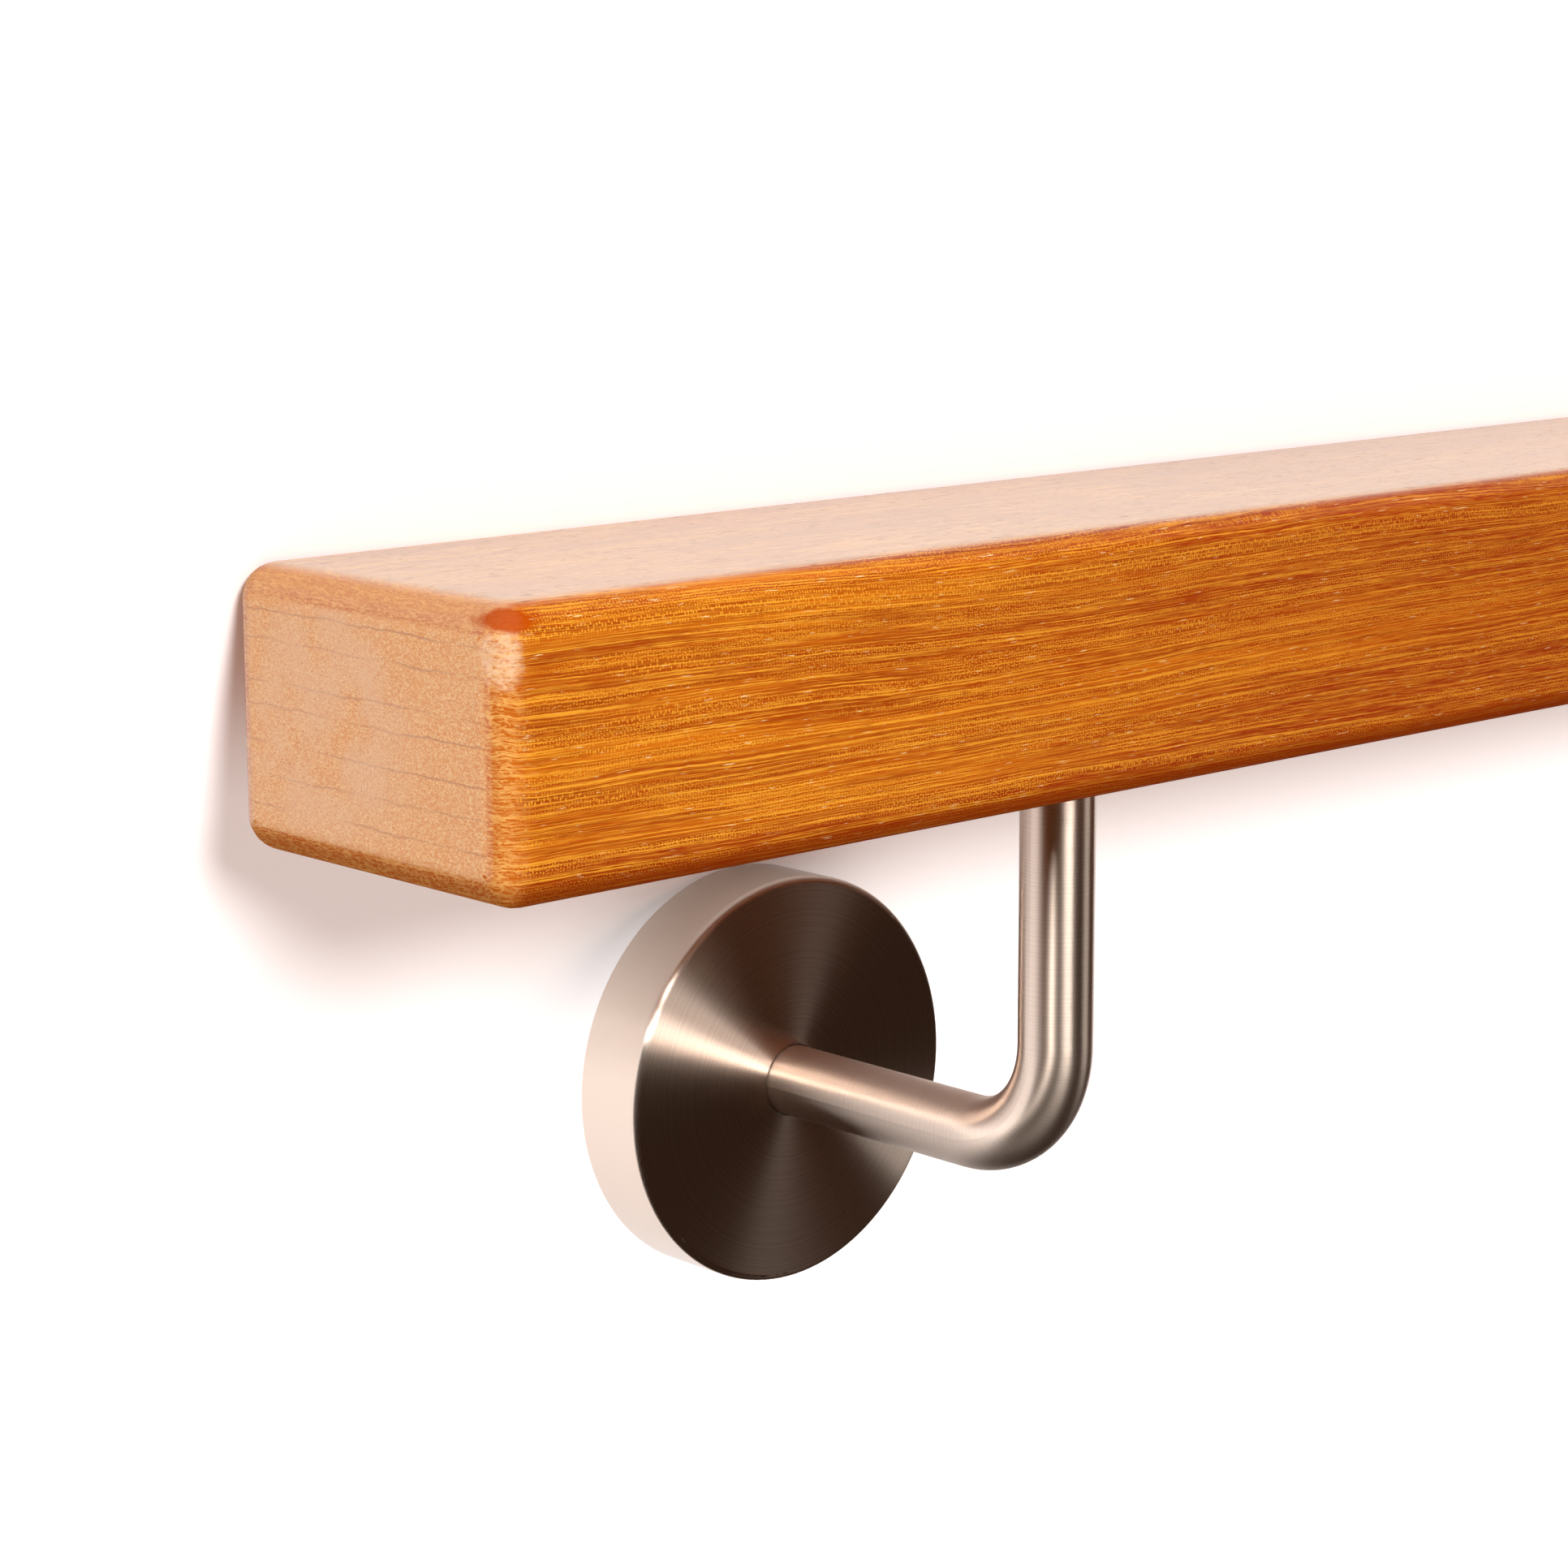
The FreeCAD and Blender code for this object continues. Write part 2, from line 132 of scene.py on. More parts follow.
def maths(tree, operation, *values):
    """One sum on numbers."""
    return node(tree, "Math", dict(enumerate(values)), operation=operation).outputs[0]


def vectors(tree, operation, *values):
    """One sum on vectors."""
    made = node(tree, "VectorMath", dict(enumerate(values)), operation=operation)
    return made.outputs["Value" if operation in ("DOT_PRODUCT", "LENGTH") else "Vector"]


def parts(tree, vector):
    """The three numbers of a vector: along, out and up."""
    return node(tree, "SeparateXYZ", {"Vector": vector}).outputs


# %% Masks
def ease(tree, value, low, high):
    """0 where the value is under low, 1 where it is over high, and a soft step between."""
    made = node(tree, "MapRange", {"Value": value, "From Min": low, "From Max": high},
                interpolation_type="SMOOTHSTEP")
    return made.outputs["Result"]


def inverse(tree, mask):
    """1 where a mask is 0, and 0 where it is 1."""
    return maths(tree, "SUBTRACT", 1.0, mask)


def both(tree, first, second):
    """1 only where two masks are 1."""
    return maths(tree, "MULTIPLY", first, second)


def either(tree, first, second):
    """1 where one or the other of two masks is 1."""
    return maths(tree, "MAXIMUM", first, second)


# %% Noise, patches and rows
def noise(tree, place, size, detail, swirl=0.0):
    """Cloudy noise from 0 to 1. The size is how big a cloud is along each of the three directions."""
    scaled = vectors(tree, "DIVIDE", place, size)
    made = node(tree, "TexNoise", {"Vector": scaled, "Scale": 1.0, "Detail": detail, "Distortion": swirl})
    return made.outputs["Fac"]


def patches(tree, place, size, low, high, detail=1.0, swirl=0.0):
    """Soft patches: 1 where cloudy noise is over high, and 0 where it is under low."""
    return ease(tree, noise(tree, place, size, detail, swirl), low, high)


def row_distance(tree, distance, spacing, looseness):
    """How far off the nearest point of a loose row is, in shares of the row's spacing."""
    made = node(tree, "TexVoronoi", {
        "W": maths(tree, "DIVIDE", distance, spacing), "Scale": 1.0, "Randomness": looseness,
    }, voronoi_dimensions="1D")
    return made.outputs["Distance"]


def reach_from(tree, place, middle, size):
    """How far a place lies from a middle, in shares of a size along each of the three directions."""
    return vectors(tree, "LENGTH", vectors(tree, "DIVIDE", vectors(tree, "SUBTRACT", place, middle), size))


# %% Colours
def blend(tree, share, first, second):
    """A colour between two others."""
    made = node(tree, "Mix", {0: share, 6: first, 7: second}, data_type="RGBA")
    return made.outputs[2]


def tinge(tree, mask, strength, under, over):
    """Lays a colour over another where a mask is 1, at a strength."""
    return blend(tree, maths(tree, "MULTIPLY", mask, strength), under, over)


def colour(red, green, blue):
    """A colour written as it looks on a screen, from 0 to 255, as the linear values that shaders use."""
    def linear(value):
        share = value / 255
        return share / 12.92 if share <= 0.04045 else ((share + 0.055) / 1.055) ** 2.4
    return (linear(red), linear(green), linear(blue), 1.0)


# %% A new finish, and where and how it lies
def new_finish(name):
    """An empty material with a principled shader. Returns the material, its tree and the shader."""
    material = bpy.data.materials.new(name)
    material.use_nodes = True
    tree = material.node_tree
    return material, tree, tree.nodes["Principled BSDF"]


def hung_place(tree, centre):
    """Where a point of the surface is, in millimetres from a centre, along, out and up."""
    here = node(tree, "TexCoord").outputs["Object"]
    turned = node(tree, "Mapping", {
        "Vector": here,
        "Location": centre,
        "Rotation": LEAN,
        "Scale": (1 / METRE_IN_MM,) * 3,
    }, vector_type="TEXTURE")
    return turned.outputs["Vector"]


def facing(tree):
    """How squarely the surface looks along, out and up, each from 0 to 1."""
    looking = node(tree, "TexCoord").outputs["Normal"]
    turned = node(tree, "Mapping", {"Vector": looking, "Rotation": LEAN}, vector_type="TEXTURE")
    return parts(tree, vectors(tree, "ABSOLUTE", turned.outputs["Vector"]))


def give(name, material):
    """Puts a material in every slot of a node."""
    for slot in frame["nodes"][name].material_slots:
        slot.material = material
    print(name, "has", material.name)


# %% [markdown]
# ## The timber: one plank, cut six ways
#
# The rail is an orange-brown hardwood under a clear varnish. A picture wrapped round the rail would
# not match from face to face. The grain is instead worked out in space, as in a real plank, so that
# every face cuts the same growth layers.
#
# The layers lie nearly level. They run straight along the plank, but wander over its length, and
# across it they ripple every millimetre or two. On the front they show as long wavy lines, and on
# the rounded end they turn into short curls.

# %% The wander of the growth layers
# Each row is a size of waves, their detail and their height. Sizes and heights are in millimetres.
WANDERS = (
    ((120.0, 40.0, 20.0), 0.0, 5.0),
    ((30.0, 2.4, 5.0), 1.0, 1.1),
    ((5.0, 1.0, 1.2), 2.0, 0.24),
    ((1.3, 0.6, 0.5), 0.0, 0.09),
)


def bent_place(tree, place):
    """A place in the plank, moved up and down by the wander of the growth layers there."""
    shift = 0.0
    for size, detail, height in WANDERS:
        swing = maths(tree, "SUBTRACT", noise(tree, place, size, detail), 0.5)
        shift = maths(tree, "MULTIPLY_ADD", swing, height, shift)
    lift = node(tree, "CombineXYZ", {"Z": shift}).outputs[0]
    return vectors(tree, "ADD", place, lift)


print("growth layers wander by up to", sum(height for _, _, height in WANDERS) / 2, "mm")

# %% [markdown]
# ## Pale lines and rows of ticks
#
# Each growth layer ends in a thin pale line. The lines stand at uneven distances. A wave texture would
# space them evenly, so each comes from a row of points with loose places, and it swells and fades
# along its run. Three rows are laid over each other, from few bold lines to many faint ones.
#
# Between the lines sit rows of tiny pale ticks, where the wood's rays are cut across. They are short
# in most places and tall, like the rungs of a ladder, in some, and in one long row near the top.

# %% Growth lines
LINE_SWELL = (3.0, 1.2, 0.8)


def growth_lines(tree, bent, spacing, half_width, run):
    """Thin lines along the rail: 1 on a line and 0 between. The sizes are in millimetres."""
    up = parts(tree, bent)[2]
    away = maths(tree, "MULTIPLY", row_distance(tree, up, spacing, 0.7), spacing)
    swell = noise(tree, bent, LINE_SWELL, 2.0)
    width = maths(tree, "MULTIPLY", swell, 2.0 * half_width)
    line = inverse(tree, ease(tree, maths(tree, "DIVIDE", away, width), 0.4, 1.6))
    return both(tree, line, patches(tree, bent, (run, 8.0, spacing * 0.7), 0.34, 0.62))


def all_growth_lines(tree, bent):
    """Bold, middling and faint lines together."""
    bold = growth_lines(tree, bent, spacing=1.9, half_width=0.11, run=26.0)
    middling = growth_lines(tree, bent, spacing=0.95, half_width=0.075, run=14.0)
    faint = maths(tree, "MULTIPLY", growth_lines(tree, bent, spacing=0.40, half_width=0.05, run=8.0), 0.7)
    return either(tree, bold, either(tree, middling, faint))


# %% Ray ticks
TICK_SPACING = 0.50
SHORT_TICK = 0.44
TALL_TICK = 1.05
TALL_ZONE = (50.0, 8.0, 3.0)
TICK_ZONE = (36.0, 8.0, 2.0)
LADDER_HEIGHT = RAIL_TOP - 4.5


def ticks(tree, bent, height):
    """Rows of small ticks of a height, seen from the front of the rail."""
    along, _, up = parts(tree, bent)
    grid = node(tree, "CombineXYZ", {
        "X": maths(tree, "DIVIDE", along, TICK_SPACING),
        "Y": maths(tree, "DIVIDE", up, height),
    }).outputs[0]
    cell = node(tree, "TexVoronoi", {"Vector": grid, "Scale": 1.0, "Randomness": 0.55},
                voronoi_dimensions="2D")
    return inverse(tree, ease(tree, cell.outputs["Distance"], 0.10, 0.36))


def all_ticks(tree, bent):
    """Short ticks, with tall ones in some zones and none in others."""
    off_ladder = maths(tree, "ABSOLUTE", maths(tree, "SUBTRACT", parts(tree, bent)[2], LADDER_HEIGHT))
    ladder = inverse(tree, ease(tree, off_ladder, 0.8, 1.8))
    tall = either(tree, ladder, patches(tree, bent, TALL_ZONE, 0.60, 0.66))
    rows = node(tree, "Mix", {0: tall, 2: ticks(tree, bent, SHORT_TICK), 3: ticks(tree, bent, TALL_TICK)})
    there = either(tree, ladder, patches(tree, bent, TICK_ZONE, 0.40, 0.62))
    return both(tree, rows.outputs[0], there)


# %% [markdown]
# ## The front of the rail
#
# The ground is a red-brown that turns amber in soft bands, and it is redder away from the near end.
# Along the bottom it is painted darker red, which is painted shade under the rail. Fine fibres, dark
# streaks and open pores lie along it, then the ticks, the pale lines and a few short pale flecks.
# Each is one soft mask and one colour, laid over what is there, and the pale marks are clearest
# near the end.

# %% Colours of the front
AMBER = colour(222, 114, 6)
BROWN = colour(184, 76, 0)
RED_BROWN = colour(160, 50, 8)
DARK_STREAK = colour(140, 50, 4)
PALE_LINE = colour(252, 168, 46)
PALE_FLECK = colour(255, 218, 156)

# %% Sizes and places of the marks on the front
# A size is in millimetres along, out and up. A place is in millimetres from the middle of the rail.
AMBER_BAND = (90.0, 20.0, 3.2)
RED_CLOUD = (160.0, 60.0, 14.0)
FIBRE = (4.0, 0.8, 0.17)
LAYER = (30.0, 5.0, 0.8)
STREAK = (20.0, 5.0, 0.34)
FLECK = (3.6, 0.5, 0.26)
NEAR_END = RAIL_END - 20.0
FAR_FROM_END = RAIL_END - 200.0
BOTTOM = -RAIL_TOP + 2.5
OVER_BOTTOM = -RAIL_TOP + 9.0


# %% Ground colour of the front
def ground_colour(tree, place, bent, away_from_end):
    """Red-brown with amber bands, redder in clouds and away from the near end, with painted shade along the
    bottom.
    """
    amber_there = patches(tree, bent, AMBER_BAND, 0.40, 0.60, detail=3.0)
    body = blend(tree, amber_there, BROWN, AMBER)
    cloud = patches(tree, place, RED_CLOUD, 0.40, 0.62)
    # Painted shade: the bottom few millimetres are painted darker red, as the shade under the rail.
    low = inverse(tree, ease(tree, parts(tree, bent)[2], BOTTOM, OVER_BOTTOM))
    redness_and_shade = maths(tree, "MULTIPLY_ADD", away_from_end, 0.65, maths(tree, "MULTIPLY", cloud, 0.3))
    redness_and_shade = maths(tree, "MULTIPLY_ADD", low, 0.55, redness_and_shade)
    return blend(tree, redness_and_shade, body, RED_BROWN)


# %% Long grain
def long_grain(tree, place, bent):
    """The colour of the wood where it is cut along its length."""
    backwards = maths(tree, "MULTIPLY", parts(tree, place)[0], -1.0)
    away_from_end = ease(tree, backwards, -NEAR_END, -FAR_FROM_END)
    body = ground_colour(tree, place, bent, away_from_end)
    for size, detail, low, high, strength, tint in (
        (FIBRE, 2.0, 0.42, 0.62, 0.18, PALE_LINE),
        (LAYER, 1.0, 0.47, 0.60, 0.28, DARK_STREAK),
        (STREAK, 2.0, 0.57, 0.70, 0.34, DARK_STREAK),
    ):
        body = tinge(tree, patches(tree, bent, size, low, high, detail), strength, body, tint)
    clear = maths(tree, "MULTIPLY_ADD", away_from_end, -0.45, 0.95)
    body = tinge(tree, all_ticks(tree, bent), clear, body, PALE_LINE)
    body = tinge(tree, all_growth_lines(tree, bent), clear, body, PALE_LINE)
    return tinge(tree, patches(tree, bent, FLECK, 0.68, 0.77), clear, body, PALE_FLECK)


# %% [markdown]
# ## The sawn end
#
# Where the plank is sawn across, the wood is paler. It is full of short curly dashes, with open pores
# in patches, a thin dark line at the end of each few layers and milky haze, strongest where the
# varnish is worn. The haze is partly worn varnish and partly a painted reflection.
# The curls are noise that is swirled by itself.

# %% Colours of the end
END_TAN = colour(228, 138, 42)
END_SPECK = colour(255, 224, 182)
END_CURL = colour(255, 200, 132)
END_LINE = colour(184, 106, 48)
# Milky haze, partly worn varnish and partly painted sheen, on the end and its upper roundings.
END_HAZE_AND_SHEEN = colour(240, 188, 144)
END_PORE = colour(196, 96, 28)

# %% Sizes and places of the marks on the end
END_DASH = (1.4, 0.50, 0.26)
SPECK = (0.5, 0.30, 0.24)
LINE_SPACING = 4.2
LINE_WAVE = (40.0, 6.0, 5.0)
LINE_WAVE_HEIGHT = 1.4
LINE_ZONE = (30.0, 18.0, 4.0)
HAZE = (30.0, 9.0, 8.0)
ROUND_PORE = (4.0, 0.30, 0.30)
WORN_MIDDLE = (RAIL_END - 10.0, -9.0, 1.0)
WORN_SIZE = (60.0, 20.0, 18.0)


# %% Curls and dark lines of the end
def curls(tree, place, size):
    """Short curly dashes of a size: 1 on a dash and 0 between."""
    return patches(tree, place, size, 0.44, 0.62, detail=2.0, swirl=1.2)


def end_lines(tree, place):
    """Thin wavy lines across the end, one for each few layers, broken in places."""
    wave = maths(tree, "SUBTRACT", noise(tree, place, LINE_WAVE, 4.0), 0.5)
    up = maths(tree, "MULTIPLY_ADD", wave, LINE_WAVE_HEIGHT, parts(tree, place)[2])
    line = inverse(tree, ease(tree, row_distance(tree, up, LINE_SPACING, 0.5), 0.0, 0.06))
    return both(tree, line, patches(tree, place, LINE_ZONE, 0.30, 0.60, detail=2.0))


# %% End grain
def end_grain(tree, place):
    """The colour of the wood where it is sawn across."""
    end = tinge(tree, curls(tree, place, END_DASH), 0.9, END_TAN, END_CURL)
    end = tinge(tree, patches(tree, place, SPECK, 0.60, 0.70), 0.9, end, END_SPECK)
    end = tinge(tree, end_lines(tree, place), 0.75, end, END_LINE)
    worn = inverse(tree, ease(tree, reach_from(tree, place, WORN_MIDDLE, WORN_SIZE), 0.6, 1.3))
    # The milky haze is partly worn varnish and partly a painted reflection, strongest where worn.
    milky = maths(tree, "MULTIPLY_ADD", worn, 0.55, 0.10)
    end = tinge(tree, patches(tree, place, HAZE, 0.25, 0.70, detail=5.0), milky, end, END_HAZE_AND_SHEEN)
    pore = patches(tree, place, ROUND_PORE, 0.70, 0.76, detail=0.0)
    return tinge(tree, both(tree, pore, worn), 0.8, end, END_PORE)


# %% [markdown]
# ## The top, the rounded edges and the corner
#
# Seen at a low angle, the top is mostly the shine of its varnish, over wood that is painted pale as
# a painted sheen, with fine brown pores. The rounded end edges lie between long grain and end grain,
# so they show curls on a brown ground. The lower roundings are painted dark red as painted shade,
# and the upper ones turn hazy towards the end, partly worn varnish and partly painted sheen. One
# front corner has a thick orange-red run of varnish, with a milky patch just under it that is partly
# a scuff and partly a painted highlight.
#
# None of these has an outline of its own. Each is found by where a point lies and which way the
# surface looks there, so that a mark ends on a rounding as softly as it does on the real rail.

# %% Colours of the top, the edges and the corner
# Painted sheen: the top's wood is painted a pale tan where its varnish shines.
TOP_TAN_AND_SHEEN = colour(238, 204, 164)
TOP_PORE = colour(104, 48, 14)
EDGE_BROWN = colour(200, 100, 24)
EDGE_CURL = colour(252, 192, 108)
# Painted shade: the dark red of the lower roundings, under the rail.
UNDER_SHADE_RED = colour(136, 44, 6)
CORNER_RED = colour(188, 70, 0)
# Partly a scuff and partly a painted highlight: the milky patch under the corner.
CORNER_SCUFF_AND_HIGHLIGHT = colour(252, 212, 172)

# %% Sizes and places of the marks on the edges and the corner
LONG_PORE = (3.2, 0.26, 0.24)
EDGE_DASH = (1.8, 1.0, 0.32)
RUN_IN_FROM_CORNER = Vector((2.2, 2.2, 2.2))
RUN_SIZE = (4.6, 4.6, 1.6)
SCUFF_AND_HIGHLIGHT_IN_FROM_CORNER = Vector((0.8, 1.4, 7.0))
SCUFF_AND_HIGHLIGHT_SIZE = (3.0, 3.4, 4.4)
RUBBED = (1.2, 0.8, 0.5)
RAGGED = (2.0, 2.0, 2.0)


# %% The long sides
def long_sides(tree, place, bent, pore, facing_up, above):
    """Long grain on the front, the back and underneath, and on top wood painted pale as a painted sheen."""
    side = tinge(tree, pore, 0.5, long_grain(tree, place, bent), DARK_STREAK)
    # Painted sheen: the top is painted mostly pale tan over the long grain.
    top = tinge(tree, pore, 0.8, blend(tree, 0.62, side, TOP_TAN_AND_SHEEN), TOP_PORE)
    return blend(tree, both(tree, ease(tree, facing_up, 0.90, 0.995), above), side, top)


# %% The rounded edges
def rounded_edges(tree, surface, bent, facing_along, facing_up, above):
    """Curls on the end edges, painted shade in dark red on the lower roundings, and haze and painted sheen
    on the upper ones near the end.
    """
    edge = tinge(tree, curls(tree, bent, EDGE_DASH), 0.6, EDGE_BROWN, EDGE_CURL)
    edge = tinge(tree, all_growth_lines(tree, bent), 0.5, edge, EDGE_CURL)
    surface = blend(tree, ease(tree, facing_along, 0.05, 0.85), surface, edge)

    # Painted shade: the lower roundings are painted dark red, most away from the end.
    rounding = maths(tree, "SUBTRACT", ease(tree, facing_up, 0.08, 0.60), ease(tree, facing_up, 0.95, 0.999))
    underneath = both(tree, rounding, inverse(tree, above))
    off_end = inverse(tree, ease(tree, facing_along, 0.10, 0.60))
    under_shade_strength = maths(tree, "MULTIPLY_ADD", off_end, 0.45, 0.35)
    surface = tinge(tree, underneath, under_shade_strength, surface, UNDER_SHADE_RED)

    # The haze on the upper roundings near the end is partly worn varnish and partly painted sheen.
    shoulder = both(tree, ease(tree, facing_up, 0.15, 0.60), ease(tree, facing_along, 0.10, 0.40))
    return tinge(tree, both(tree, shoulder, above), 0.45, surface, END_HAZE_AND_SHEEN)


# %% Patches at the corner
def patch_at(tree, place, in_from_corner, size):
    """1 inside a soft uneven patch near the upper front corner of the near end, 0 outside."""
    middle = Vector((RAIL_END, RAIL_FRONT, RAIL_TOP)) - in_from_corner
    ragged = maths(tree, "SUBTRACT", noise(tree, place, RAGGED, 3.0), 0.5)
    uneven = maths(tree, "MULTIPLY_ADD", ragged, 0.9, reach_from(tree, place, middle, size))
    return inverse(tree, ease(tree, uneven, 0.65, 1.15))


# %% [markdown]
# ## The varnish
#
# The varnish is a second, clear layer of the shader. Its gloss is a little blurred, as on a rail that
# many hands have polished. It is whole on the flat sides and worn thin along the roundings and
# underneath. The open pores and the run at the corner break its shine too. So its weight is a mask,
# like those of the colours, while its roughness is one number for the whole rail.

# %% Varnish
def varnish_left(tree, faces, above, run, pore):
    """How much of the clear coat shows, from 0 to 1."""
    facing_along, facing_out, facing_up = faces
    squarely = either(tree, facing_along, either(tree, facing_out, both(tree, facing_up, above)))
    whole = maths(tree, "MULTIPLY_ADD", ease(tree, squarely, 0.80, 0.985), 0.8, 0.2)
    broken = either(tree, maths(tree, "MULTIPLY", run, 0.9), maths(tree, "MULTIPLY", pore, 0.6))
    underneath = both(tree, ease(tree, facing_up, 0.02, 0.30), inverse(tree, above))
    missing = either(tree, broken, maths(tree, "MULTIPLY", underneath, 0.9))
    return both(tree, whole, inverse(tree, missing))


# %% Timber finish
HALF_WAY_UP = 0.0
OVER_HALF_WAY = 4.0
RELIEF_DEPTH = 0.00003


def timber_finish():
    """Varnished hardwood: long grain, end grain, edges and top, under a clear coat."""
    material, tree, shader = new_finish("varnished_timber")
    place = hung_place(tree, RAIL_CENTRE)
    bent = bent_place(tree, place)
    faces = facing(tree)
    facing_along, _, facing_up = faces
    above = ease(tree, parts(tree, place)[2], HALF_WAY_UP, OVER_HALF_WAY)
    pore = patches(tree, bent, LONG_PORE, 0.66, 0.74)

    surface = long_sides(tree, place, bent, pore, facing_up, above)
    surface = rounded_edges(tree, surface, bent, facing_along, facing_up, above)
    surface = blend(tree, ease(tree, facing_along, 0.97, 0.999), surface, end_grain(tree, place))
    run = patch_at(tree, place, RUN_IN_FROM_CORNER, RUN_SIZE)
    # A milky patch under the corner, partly a scuff and partly a painted highlight.
    scuff_and_highlight = patch_at(tree, place, SCUFF_AND_HIGHLIGHT_IN_FROM_CORNER, SCUFF_AND_HIGHLIGHT_SIZE)
    rubbed = patches(tree, place, RUBBED, 0.20, 0.62, detail=3.0, swirl=1.0)
    surface = tinge(tree, both(tree, scuff_and_highlight, rubbed), 0.66, surface, CORNER_SCUFF_AND_HIGHLIGHT)
    surface = tinge(tree, run, 0.88, surface, CORNER_RED)

    raised = maths(tree, "MULTIPLY", curls(tree, bent, END_DASH), 0.5)
    height = maths(tree, "SUBTRACT", raised, pore)
    relief = node(tree, "Bump", {"Height": height, "Strength": 0.30, "Distance": RELIEF_DEPTH}).outputs[0]
    feed(tree, shader, {
        "Base Color": surface,
        "Normal": relief,
        "Roughness": 0.50,
        "Specular IOR Level": 0.0,
        "Coat Weight": varnish_left(tree, faces, above, run, pore),
        "Coat Roughness": 0.22,
        "Coat IOR": 1.65,
    })
    return material


give("handrail", timber_finish())

# %% [markdown]
# ## The steel
#
# Brushed steel has fine parallel scratches, which smear a reflection across themselves. The bar is
# brushed round and round, so its reflections smear along its length and stay crisp across it. The
# rose is turned on a lathe, so its scratches are circles, and a lamp shows in it as a bright wedge
# from the centre to the rim.
#
# The shader smears a reflection along a direction called the tangent, so each piece works out its
# own. The scratches themselves are a noise on one number: how far along the bar, or how far from the
# centre of the rose, a point lies.

# %% Steel colours, sizes of the bar and scratches
BAR_RADIUS = 0.006
BEND_RADIUS = 0.018
WARM_STEEL = colour(240, 223, 209)
SHADED_STEEL = colour(226, 208, 194)


def scratched(tree, distance, lines_per_mm, low, high):
    """Two close steel colours in fine lines, which lie square to a distance in millimetres."""
    lines = node(tree, "TexNoise", {
        "W": maths(tree, "MULTIPLY", distance, lines_per_mm), "Scale": 1.0, "Detail": 3.0,
    }, noise_dimensions="1D")
    return blend(tree, ease(tree, lines.outputs["Fac"], low, high), SHADED_STEEL, WARM_STEEL)


# %% Brushed bar
def bar_finish(number):
    """Brushed round the bar. Its tangent follows the bar along the arm, round the bend and up."""
    material, tree, shader = new_finish(f"brushed_bar_{number}")
    arm = f"bracket_arm_{number}"
    reach = extent(arm, OUT)[1] - BAR_RADIUS
    drop = extent(arm, UP)[0] + BAR_RADIUS
    sideways = sum(extent(arm, ALONG)) / 2
    bend_centre = HUNG @ Vector((sideways, reach - BEND_RADIUS, drop + BEND_RADIUS))
    _, out, up = parts(tree, hung_place(tree, bend_centre))
    past = maths(tree, "MAXIMUM", out, 0.0)
    under = maths(tree, "MAXIMUM", maths(tree, "MULTIPLY", up, -1.0), 0.0)
    outward = node(tree, "VectorMath", {0: tuple(OUT), "Scale": under}, operation="SCALE").outputs[0]
    upward = node(tree, "VectorMath", {0: tuple(UP), "Scale": past}, operation="SCALE").outputs[0]
    run = vectors(tree, "NORMALIZE", vectors(tree, "ADD", outward, upward))

    turned = maths(tree, "MULTIPLY", maths(tree, "ARCTAN2", past, under), BEND_RADIUS * METRE_IN_MM)
    straight = maths(tree, "ADD", maths(tree, "MINIMUM", out, 0.0), maths(tree, "MAXIMUM", up, 0.0))
    feed(tree, shader, {
        "Base Color": scratched(tree, maths(tree, "ADD", turned, straight), 5.0, 0.3, 0.7),
        "Tangent": run,
        "Metallic": 1.0,
        "Roughness": 0.40,
        "Anisotropic": 0.85,
    })
    return material


# %% Turned rose
FACE_ROUGHNESS = 0.31
RIM_ROUGHNESS = 0.20


def rose_finish(number):
    """Turned round the rose's own axis. Its tangent runs square to the circles, over face and rim."""
    material, tree, shader = new_finish(f"turned_rose_{number}")
    centre = centre_of(f"cover_rose_{number}")
    here = node(tree, "TexCoord").outputs["Object"]
    from_centre = vectors(tree, "SUBTRACT", here, tuple(centre))
    round_and_round = vectors(tree, "CROSS_PRODUCT", tuple(OUT), from_centre)
    looking = node(tree, "TexCoord").outputs["Normal"]
    across = vectors(tree, "NORMALIZE", vectors(tree, "CROSS_PRODUCT", looking, round_and_round))

    flat = vectors(tree, "MULTIPLY", hung_place(tree, centre), (1.0, 0.0, 1.0))
    looks_out = maths(tree, "ABSOLUTE", vectors(tree, "DOT_PRODUCT", looking, tuple(OUT)))
    face = ease(tree, looks_out, 0.2, 0.9)
    feed(tree, shader, {
        "Base Color": scratched(tree, vectors(tree, "LENGTH", flat), 2.5, 0.25, 0.75),
        "Tangent": across,
        "Metallic": 1.0,
        "Roughness": node(tree, "Mix", {0: face, 2: RIM_ROUGHNESS, 3: FACE_ROUGHNESS}).outputs[0],
        "Anisotropic": 1.0,
    })
    return material


# %% [markdown]
# ## Zinc plate
#
# The flanges sit inside the roses, and the hanger bolts inside the bars and the timber. Both are
# plated with zinc. Once the rail hangs they are out of sight, but as it lies the back of each flange
# shows from behind. Plate has no scratches with a direction, so a tangent would be wrong here. Soft
# grey clouds and an even, dull shine are enough.

# %% Zinc plate
ZINC_CLOUD = (3.0, 3.0, 3.0)


def zinc_finish():
    """Dull zinc plate on the flanges and the bolts: faint grey clouds and a soft shine."""
    material, tree, shader = new_finish("zinc_plate")
    clouds = noise(tree, hung_place(tree, RAIL_CENTRE), ZINC_CLOUD, 4.0)
    feed(tree, shader, {
        "Base Color": blend(tree, clouds, colour(150, 150, 148), colour(196, 196, 190)),
        "Metallic": 1.0,
        "Roughness": 0.42,
    })
    return material


# %% Put the finishes on the brackets
zinc = zinc_finish()
for number in (1, 2):
    give(f"bracket_arm_{number}", bar_finish(number))
    give(f"cover_rose_{number}", rose_finish(number))
    give(f"wall_flange_{number}", zinc)
    give(f"rail_stud_{number}", zinc)

